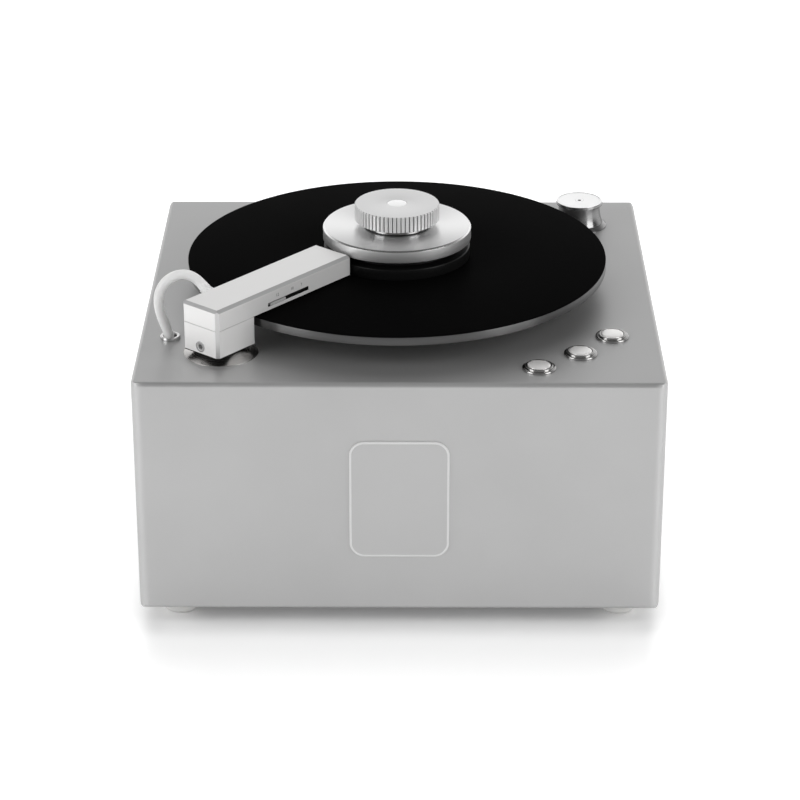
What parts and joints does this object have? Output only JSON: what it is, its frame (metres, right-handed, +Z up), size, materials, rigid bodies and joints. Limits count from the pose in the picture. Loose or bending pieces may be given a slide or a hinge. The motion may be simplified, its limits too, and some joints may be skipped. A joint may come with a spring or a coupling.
{
  "type": "record cleaning machine",
  "caption": "Boxy silver record cleaning machine with a round black platter and clamp, a hollow suction arm on a pivot, a milky hose, push buttons and a turned post.",
  "frame": {"origin": "on the ground under the middle of the casing", "axes": "+X to the right seen from the front, +Y to the back, +Z up"},
  "size_m": [0.36, 0.3474, 0.247],
  "materials": {
    "casing_silver": "satin silver lacquer, fine grain",
    "base_black": "black powder coat",
    "screw_steel": "bright steel",
    "foot_rubber": "pale grey rubber",
    "plate_silver": "satin, bare",
    "panel_grey": "satin grey paint",
    "socket_black": "fine moulded grain",
    "rocker_black": "gloss",
    "tank_white": "milky moulded plastic",
    "duct_grey": "moulded plastic",
    "cap_rubber": "black rubber",
    "motor_dark": "dark enamel",
    "inner_alloy": "as machined",
    "bush_bronze": "sintered bronze",
    "platter_grey": "dark grey, satin",
    "mat_black": "smooth black",
    "belt_black": "ground rubber",
    "board_green": "lacquered board",
    "wire_black": "insulated wire",
    "clamp_black": "turned black plastic",
    "clamp_silver": "satin anodised",
    "polished": "polished",
    "inlay_white": "gloss white",
    "hose_clear": "milky clear silicone",
    "arm_silver": "satin anodised, pale",
    "lip_black": "black pile",
    "slider_grey": "satin",
    "button_steel": "polished steel",
    "post_silver": "fine turned"
  },
  "bodies": {
    "cabinet": {"casing": "casing_silver", "base_plate": "base_black", "base_screws": "screw_steel", "feet": "foot_rubber", "front_plate": "plate_silver", "rear_panel": "panel_grey", "rear_screws": "screw_steel", "mains_inlet": "socket_black", "switch_frame": "socket_black", "drain_spout": "tank_white", "waste_tank": "tank_white", "tank_lid": "tank_white", "air_duct": "duct_grey", "fan_case": "duct_grey", "fan_motor": "motor_dark", "bearing_housing": "inner_alloy", "bearing_bushes": "bush_bronze", "bearing_screws": "screw_steel", "drive_belt": "belt_black", "platter_motor": "motor_dark", "motor_carrier": "screw_steel", "control_board": "board_green", "transformer": "motor_dark", "wiring": "wire_black", "pivot_flange": "polished", "pivot_nut": "screw_steel", "hose_ring": "polished", "button_bezels": "polished", "button_nuts": "screw_steel", "post_base": "post_silver", "post_body": "post_silver", "post_screw": "screw_steel"},
    "turntable": {"spindle": "polished", "platter_hub": "inner_alloy", "platter": "platter_grey", "platter_mat": "mat_black", "drive_pulley": "inner_alloy"},
    "motor_rotor": {"motor_pulley": "bush_bronze"},
    "fan_rotor": {"impeller": "inner_alloy"},
    "rocker": {"power_rocker": "rocker_black"},
    "drain_plug": {"drain_cap": "cap_rubber"},
    "clamp": {"clamp_base": "clamp_black", "clamp_disc": "clamp_silver", "clamp_neck": "polished"},
    "knob": {"clamp_knob": "clamp_silver", "knob_inlay": "inlay_white"},
    "column": {"lift_column": "polished", "column_clip": "screw_steel", "suction_hose": "hose_clear"},
    "arm": {"hose_nipple": "polished", "arm_block": "arm_silver", "arm_bar": "arm_silver", "arm_screws": "screw_steel", "arm_lips": "lip_black"},
    "slider": {"size_slider": "slider_grey"},
    "forward_cap": {"forward_button": "button_steel"},
    "reverse_cap": {"reverse_button": "button_steel"},
    "suction_cap": {"suction_button": "button_steel"}
  },
  "joints": [
    {"name": "platter_spin", "type": "hinge", "parent": "cabinet", "child": "turntable", "pos_m": [-0.0025, 0.0015, 0.19], "axis": [0, 0, 1], "continuous": true},
    {"name": "motor_spin", "type": "hinge", "parent": "cabinet", "child": "motor_rotor", "pos_m": [0.08811, 0.06733, 0.11], "axis": [0, 0, 1], "continuous": true},
    {"name": "fan_spin", "type": "hinge", "parent": "cabinet", "child": "fan_rotor", "pos_m": [0.013, -0.095, 0.033], "axis": [0, 0, 1], "continuous": true},
    {"name": "clamp_lift", "type": "slide", "parent": "turntable", "child": "clamp", "axis": [0, 0, 1], "range_m": [0, 0.03]},
    {"name": "knob_turn", "type": "hinge", "parent": "clamp", "child": "knob", "pos_m": [-0.0025, 0.0015, 0.232], "axis": [0, 0, 1], "range_deg": [0, 360]},
    {"name": "arm_lift", "type": "slide", "parent": "cabinet", "child": "column", "axis": [0, 0, 1], "range_m": [0, 0.008]},
    {"name": "arm_swing", "type": "hinge", "parent": "column", "child": "arm", "pos_m": [-0.12208, -0.11934, 0.19], "axis": [0, 0, 1], "range_deg": [-85, 0], "deforming": ["suction_hose"]},
    {"name": "slider_travel", "type": "slide", "parent": "arm", "child": "slider", "axis": [0.6441, 0.7649, 0], "range_m": [0, 0.023]},
    {"name": "rocker_tilt", "type": "hinge", "parent": "cabinet", "child": "rocker", "pos_m": [-0.068, 0.1479, 0.05], "axis": [-1, 0, 0], "range_deg": [0, 16]},
    {"name": "drain_plug_pull", "type": "slide", "parent": "cabinet", "child": "drain_plug", "axis": [0, 1, 0], "range_m": [0, 0.018]},
    {"name": "forward_press", "type": "slide", "parent": "cabinet", "child": "forward_cap", "axis": [0, 0, -1], "range_m": [0, 0.0015], "stiffness_N_per_m": 500, "springref_m": -0.001},
    {"name": "reverse_press", "type": "slide", "parent": "cabinet", "child": "reverse_cap", "axis": [0, 0, -1], "range_m": [0, 0.0015], "stiffness_N_per_m": 500, "springref_m": -0.001},
    {"name": "suction_press", "type": "slide", "parent": "cabinet", "child": "suction_cap", "axis": [0, 0, -1], "range_m": [0, 0.0015], "stiffness_N_per_m": 500, "springref_m": -0.001}
  ],
  "couplings": [
    {"joint": "motor_spin", "follows": "platter_spin", "ratio": 3.9286}
  ]
}
